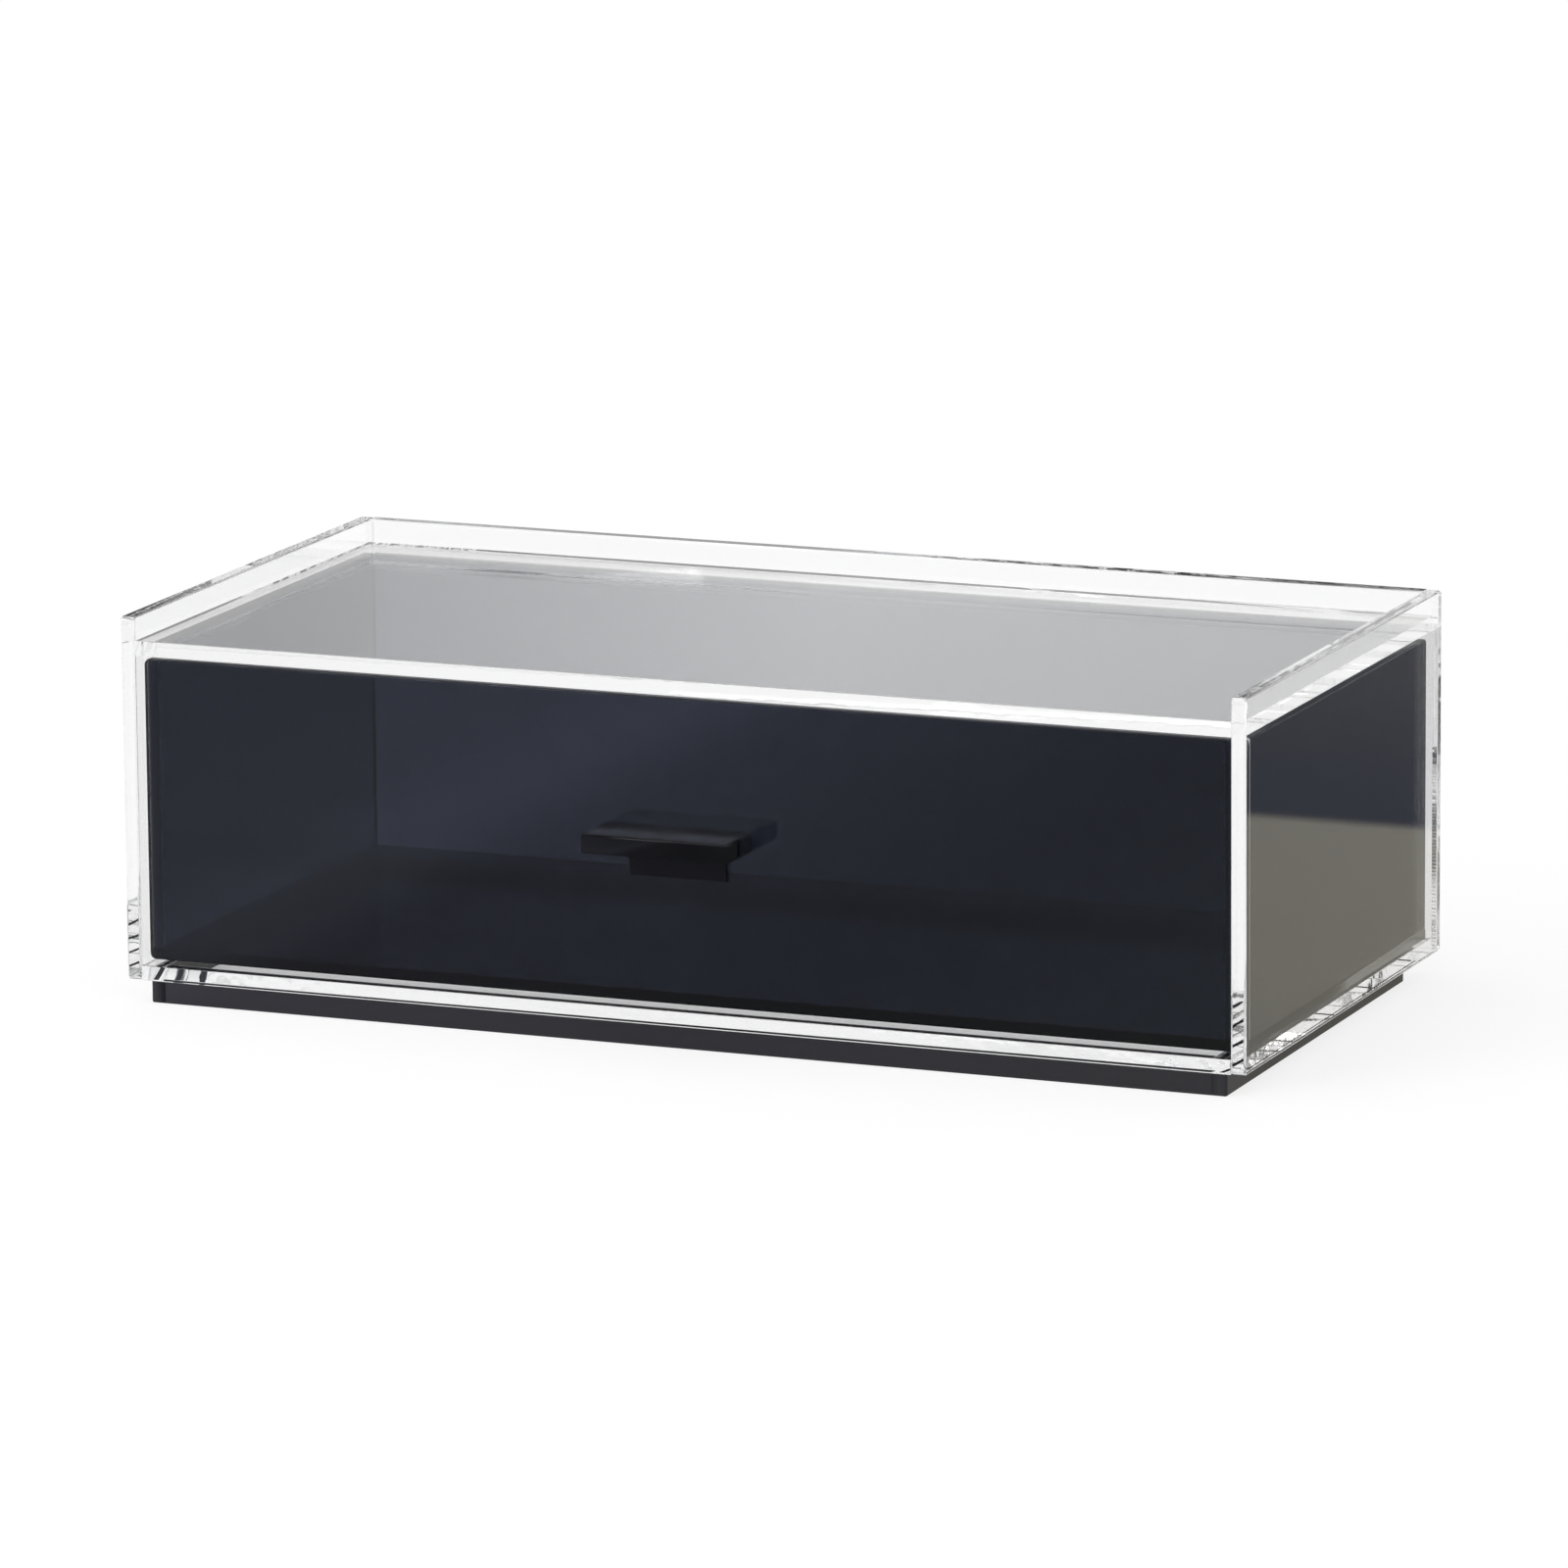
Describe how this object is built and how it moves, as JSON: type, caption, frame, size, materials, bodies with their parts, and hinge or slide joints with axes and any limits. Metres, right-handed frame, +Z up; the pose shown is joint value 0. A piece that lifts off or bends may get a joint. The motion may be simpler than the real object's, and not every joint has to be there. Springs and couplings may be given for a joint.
{
  "type": "cosmetic organizer",
  "caption": "Stackable clear organizer case with a rimmed tray top, a dark plinth and a tinted open-top drawer that pulls out at the front.",
  "frame": {"origin": "on the ground, under the middle of the bounding box with the drawer closed", "axes": "+Z up, the drawer front and its pull face -Y, +X along the width"},
  "size_m": [0.3, 0.1578, 0.0995],
  "materials": {
    "clear_acrylic": "polished clear sheet",
    "navy_tint": "polished translucent dark navy sheet",
    "navy_solid": "polished opaque dark navy"
  },
  "bodies": {
    "case": {"case_left_side": "clear_acrylic", "case_right_side": "clear_acrylic", "case_back": "clear_acrylic", "deck": "clear_acrylic", "case_bottom": "clear_acrylic", "plinth_front": "navy_solid", "plinth_back": "navy_solid", "plinth_left": "navy_solid", "plinth_right": "navy_solid"},
    "drawer": {"drawer_front": "navy_tint", "drawer_left": "navy_tint", "drawer_right": "navy_tint", "drawer_back": "navy_tint", "drawer_bottom": "navy_tint", "handle_blade": "navy_solid", "handle_leg": "navy_solid"}
  },
  "joints": [
    {"name": "drawer_slide", "type": "slide", "parent": "case", "child": "drawer", "axis": [0, -1, 0], "range_m": [-0.003, 0.1]}
  ]
}
